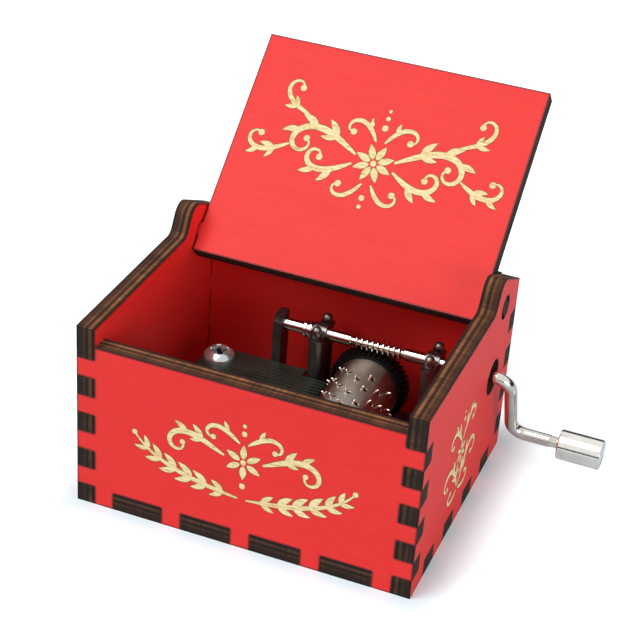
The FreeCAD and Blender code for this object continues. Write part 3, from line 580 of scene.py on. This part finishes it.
def scroll(start, heading, length, bendStart, bendEnd, steps=70):
    # a line whose bend per mm grows with the square of the way along it: the heading is the sum of the bends,
    # and each point is the sum of the steps along the headings
    bend = bendStart + (bendEnd - bendStart) * np.linspace(0, 1, steps) ** 2
    step = length / (steps - 1)
    turn = math.radians(heading) + np.concatenate([[0], np.cumsum((bend[1:] + bend[:-1]) / 2 * step)])
    middle = (turn[1:] + turn[:-1]) / 2
    way = np.stack([np.cos(middle), np.sin(middle)], -1) * step
    return np.asarray(start, float) + np.concatenate([[[0, 0]], np.cumsum(way, 0)]), turn


def strokeWidths(kind, width, steps):
    # a leaf swells between two points, a dot is a disc, and a scroll thins to about a third at its ends
    t = np.linspace(0, 1, steps)
    if kind == "leaf":
        return width * np.sin(np.pi * t ** 0.8).clip(0) ** 0.9
    if kind == "dot":
        return width * np.sqrt((1 - (2 * t - 1) ** 2).clip(0))
    return width * (0.22 + 0.78 * np.sin(np.pi * t.clip(0.02, 0.98) ** 0.75))


def dotStroke(centre, radius):
    line = np.asarray(centre, float) + np.linspace(-1, 1, engraving["dotSteps"])[:, None] * [radius, 0]
    return line, strokeWidths("dot", 2 * radius, len(line))


def leafStroke(start, heading, length, bend, widthShare):
    line, _ = scroll(start, heading, length, bend, bend, engraving["leafSteps"])
    return line, strokeWidths("leaf", length * widthShare, len(line))


def drawStrokes(design):
    # the strokes with their leaves and end dots, then their mirror images, the rosette and the middle dots
    found = []
    for start, heading, length, bends, width, leaves in design["scrolls"]:
        line, turn = scroll(start, heading, length, *bends)
        found.append((line, strokeWidths("scroll", width, len(line))))
        for share, side, size in leaves:
            i = int(share * (len(line) - 1))
            leafHeading = math.degrees(turn[i]) + engraving["leafTurn"] * side
            found.append(leafStroke(line[i], leafHeading, size, -engraving["leafBend"] * side,
                                    engraving["leafWidth"]))
        found.append(dotStroke(line[-1], design["dot"]))
    found += [(line * [-1, 1], width) for line, width in found]
    centre, count, first, size = design["rosette"]
    for angle in first + 360 / count * np.arange(count):
        way = np.array([math.cos(math.radians(angle)), math.sin(math.radians(angle))])
        foot = np.asarray(centre) + way * size * engraving["petalGap"]
        found.append(leafStroke(foot, angle, size, 0, engraving["petalWidth"]))
    found.append(dotStroke(centre, size * engraving["eye"]))
    return found + [dotStroke((u, v), radius) for u, v, radius in design["dots"]]


def engrave(name, design, origin, uWay, vWay, out, body, finish):
    # each stroke is a ribbon four points wide that stands a hair over the panel's face, with the scorch
    # attribute 1 at its outer points and 0 at its inner ones. Neighbours stand at different heights
    origin, uWay, vWay, out = (np.asarray(way, float) for way in (origin, uWay, vWay, out))
    grids, scorch = [], []
    for i, (line, width) in enumerate(drawStrokes(design)):
        along = np.gradient(line, axis=0)
        along /= np.linalg.norm(along, axis=1, keepdims=True).clip(1e-9)
        left = np.stack([-along[:, 1], along[:, 0]], -1)
        inner, outer = width / 2, width / 2 + engraving["edge"]
        half = np.stack([-outer, -inner, inner, outer], -1)
        flat = line[:, None] + half[..., None] * left[:, None]
        lift = engraving["lift"] + engraving["liftStep"] * (i % engraving["liftSteps"])
        rise = np.array([engraving["rimLift"], 1, 1, engraving["rimLift"]]) * lift
        ribbon = origin + flat[..., :1] * uWay + flat[..., 1:] * vWay + rise[None, :, None] * out
        grids.append((ribbon, False, False))
        scorch.append(np.tile([1.0, 0.0, 0.0, 1.0], len(line)))
    mesh = gridMesh(name, grids)
    markPoints(mesh, "scorch", np.concatenate(scorch))
    normals = np.zeros(len(mesh.polygons) * 3)
    mesh.polygons.foreach_get("normal", normals)
    if np.mean(normals.reshape(-1, 3) @ out) < 0:
        mesh.flip_normals()
    piece = showMesh(name, mesh, finish)
    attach(piece, body)


def laseredBirch(name):
    # bare birch under the dye: cream and matt, with raster lines and a brown scorched border
    material, tree, shader, coords = startFinish(name, {"IOR": 1.5, "Roughness": 0.8})
    fleck = mottle(tree, coords["Object"], engraving["fleck"], detail=3.0)
    raster = [1 / (engraving[key] * mm) for key in ("rasterLong", "raster", "raster")]
    lines = drawnNoise(tree, coords["Object"], raster, Detail=1.0)
    both = calc(tree, "MULTIPLY_ADD", fleck, engraving["fleckShare"], lines)
    cream = ramp(tree, both, [(0.45, "#B98A4A"), (1.0, "#F4E4B6"), (0.60, "#DDBE7E"), (0.78, "#EBD499")])
    border = addNode(tree, "Attribute", {}, attribute_name="scorch").outputs["Fac"]
    edge = ranged(tree, border, (0, 1), given=(0.1, 0.5))
    feed(tree, shader, {"Base Color": mixed(tree, edge, cream, engraving["borderColour"]),
                        "Normal": relief(tree, both, strength=0.3, distance=0.03)})
    return material


# a stroke: start, heading in degrees, length, bend per mm at its start and end, width, then its leaves as
# (share of the length, side, size). The rosette: centre, petals, the first one's heading, size. middle is
# where the design's own centre lies on its panel
lidOrnament = dict(
    middle=20.5, dot=0.62,
    scrolls=[
        ((3.9, 1.0), 30, 22.5, (0.0, -0.85), 1.25,
         [(0.24, 1, 4.0), (0.24, -1, 3.2), (0.44, 1, 4.0), (0.60, 1, 3.4)]),
        ((4.1, -0.9), -34, 15, (0.02, 1.1), 1.1, [(0.28, -1, 3.6), (0.50, -1, 3.2)]),
        ((17.2, 0.2), -32, 12.5, (0.02, 1.05), 0.95, [(0.25, 1, 3.0), (0.25, -1, 2.6), (0.5, -1, 2.6)]),
        ((14.6, 6.4), 26, 13, (-0.02, 1.1), 0.85, [(0.3, -1, 2.6), (0.3, 1, 2.2)]),
        ((0.9, 4.4), 60, 10, (-0.06, -1.2), 0.85, [(0.3, 1, 2.2)]),
        ((0.9, -4.4), -60, 9, (0.06, 1.3), 0.8, []),
    ],
    rosette=((0, 0), 8, 22.5, 3.1),
    dots=[(0, 7.4, 0.6), (0, 9.4, 0.45), (0, 11.0, 0.32), (0, -7.2, 0.55), (0, -9.0, 0.4)],
)
frontOrnament = dict(
    middle=17.0, dot=0.5,
    scrolls=[
        ((0.8, -6.4), 6, 22.0, (0.01, 0.10), 0.85,
         [(0.14, 1, 3.0), (0.14, -1, 2.8), (0.28, 1, 3.5), (0.28, -1, 3.2), (0.42, 1, 3.7), (0.42, -1, 3.4),
          (0.56, 1, 3.6), (0.56, -1, 3.3), (0.70, 1, 3.2), (0.70, -1, 3.0), (0.84, 1, 2.7), (0.84, -1, 2.6)]),
        ((3.6, 1.9), 24, 17, (0.02, -1.05), 1.1, [(0.28, 1, 3.2), (0.46, 1, 2.8), (0.28, -1, 2.4)]),
        ((0.8, 5.2), 40, 9.5, (-0.02, -1.3), 0.85, [(0.3, 1, 2.2)]),
    ],
    rosette=((0, 1.4), 6, 30, 2.8),
    dots=[(0, -3.6, 0.55), (0, 7.4, 0.5), (0, 9.0, 0.36)],
)
sideOrnament = dict(
    middle=(-2.5, 16.5), dot=0.5,
    scrolls=[
        ((0.35, -7.8), 62, 15, (0.0, -0.95), 1.0, [(0.2, 1, 3.0), (0.2, -1, 2.4), (0.4, 1, 2.8)]),
        ((0.35, 2.2), 52, 11, (0.0, -1.25), 0.9, [(0.25, 1, 2.6), (0.45, 1, 2.2)]),
        ((0.4, -8.6), -24, 7.5, (0.05, 1.5), 0.75, []),
    ],
    rosette=((0, -0.4), 6, 90, 2.0),
    dots=[(0, 6.6, 0.5), (0, 8.2, 0.36), (0, -4.6, 0.42)],
)
birch = laseredBirch("laser_engraved_birch")
lidMiddle = np.array(lid["pivot"]) + lidOut * lid["half"] + lidUp * lidOrnament["middle"]
frontMiddle = (0, -case["halfDepth"], frontOrnament["middle"])
sideMiddle = (case["halfWidth"], *sideOrnament["middle"])
engrave("lid_ornament", lidOrnament, lidMiddle, (1, 0, 0), lidUp, lidOut, "lid", birch)
engrave("front_ornament", frontOrnament, frontMiddle, (1, 0, 0), (0, 0, 1), (0, -1, 0), "case", birch)
engrave("side_ornament", sideOrnament, sideMiddle, (0, 1, 0), (0, 0, 1), (1, 0, 0), "case", birch)
print("ornament engraved")

# studio: a white floor and surround, and three soft lamps, the key at the front left, the fill at the right
# and one above. The floor's sizes are in mm, the lamps' in m
studio = dict(
    world=0.29, floor="#D9ECF4", sweep=3000, gap=0.03, glow=(0.17, 0.72), glowReach=11.0, glowMirrored=0.15,
    flag=0.04, flagTop=0.32, flagSoft=0.08, flagTilt=0.17, aim=(0, 0, 0.02),
)
lamps = dict(
    key_softbox=dict(place=(-0.45, -0.55, 0.62), size=0.5, power=2.0),
    fill_softbox=dict(place=(0.8, -0.5, 0.2), size=0.5, power=4.0),
    top_softbox=dict(place=(-0.22, -0.28, 0.78), size=0.6, power=3.6),
)


def rayShares(tree):
    # 1 for rays that look straight or through glass, and 1 for those in a mirror
    path = addNode(tree, "LightPath", {}).outputs
    return calc(tree, "MAXIMUM", path["Is Camera Ray"], path["Is Transmission Ray"]), path["Is Glossy Ray"]


def paperSweep(name):
    # white paper that glows on its own, weakly at the case and fully a little way from its footprint, and
    # less so in a mirror: painted shade round the case's foot, and white beyond the object's shadow
    material, tree, shader, coords = startFinish(
        name, {"Base Color": linear(studio["floor"]), "Roughness": 0.9, "Emission Color": (1, 1, 1, 1)})
    across = vectorCalc(tree, "ABSOLUTE", coords["Object"])
    outside = vectorCalc(tree, "SUBTRACT", across, (case["halfWidth"] * mm, case["halfDepth"] * mm, 0))
    away = vectorCalc(tree, "LENGTH", vectorCalc(tree, "MAXIMUM", outside, (0, 0, 0)))
    # painted shade: the glow is weakest at the case's footprint and rises over glowReach, so the floor
    # darkens round the case
    glow = ranged(tree, away, studio["glow"], (0, studio["glowReach"] * mm), interpolation_type="SMOOTHSTEP")
    seen, mirrored = rayShares(tree)
    share = calc(tree, "MULTIPLY_ADD", mirrored, studio["glowMirrored"], seen)
    feed(tree, shader, {"Emission Strength": calc(tree, "MULTIPLY", glow, share)})
    return material


def whiteSurround(name):
    # white to the camera. Mirrored rays find dark flags along the horizon, taller at the back, and white
    # above them
    world = bpy.data.worlds.new(name)
    world.use_nodes = True
    tree = world.node_tree
    tree.nodes.clear()
    seen, mirrored = rayShares(tree)
    way = addNode(tree, "SeparateXYZ", {0: addNode(tree, "TexCoord", {}).outputs["Generated"]}).outputs
    height = calc(tree, "MULTIPLY_ADD", way["Y"], -studio["flagTilt"], way["Z"])
    flagEnds = (studio["flagTop"], studio["flagTop"] + studio["flagSoft"])
    aboveFlags = ranged(tree, height, (studio["flag"], 1.0), flagEnds, interpolation_type="SMOOTHSTEP")
    unseen = ranged(tree, mirrored, (studio["world"], aboveFlags))
    strength = ranged(tree, seen, (unseen, 1.0))
    surround = addNode(tree, "Background", {"Color": (1, 1, 1, 1), "Strength": strength})
    addNode(tree, "OutputWorld", {"Surface": surround.outputs[0]})
    return world


# the floor lies a hair below the case, so that their faces don't share a plane
edge, level = studio["sweep"], -studio["gap"]
floorGrid = np.array([[[x, y, level] for x in (-edge, edge)] for y in (-edge, edge)], float)
floor = showMesh("floor", gridMesh("floor", [(floorGrid, False, False)]), paperSweep("paper_sweep"))
bpy.context.scene.world = whiteSurround("studio_surround")


def softLight(name, place, size, power):
    # an area lamp aimed at the middle of the case
    lamp = bpy.data.lights.new(name, "AREA")
    lamp.shape, lamp.size, lamp.energy = "DISK", size, power
    holder = bpy.data.objects.new(name, lamp)
    holder.location = place
    holder.rotation_euler = (Vector(place) - Vector(studio["aim"])).to_track_quat("Z", "Y").to_euler()
    bpy.context.collection.objects.link(holder)


for name, lamp in lamps.items():
    softLight(name, **lamp)

# camera: lens and sensor in mm, place in m, turns in degrees
view = dict(lens=101.427, sensor=36.0, near=0.01, place=(0.093880428, -0.258711447, 0.200676925),
            turns=(58.606872, -3.632303, 21.601515))
camera = bpy.data.cameras.new("camera")
camera.lens, camera.sensor_width, camera.clip_start = view["lens"], view["sensor"], view["near"]
viewer = bpy.data.objects.new("camera", camera)
viewer.location = view["place"]
viewer.rotation_euler = [math.radians(angle) for angle in view["turns"]]
bpy.context.collection.objects.link(viewer)
bpy.context.scene.camera = viewer
bpy.context.scene.view_settings.view_transform = "Standard"
print("studio ready")
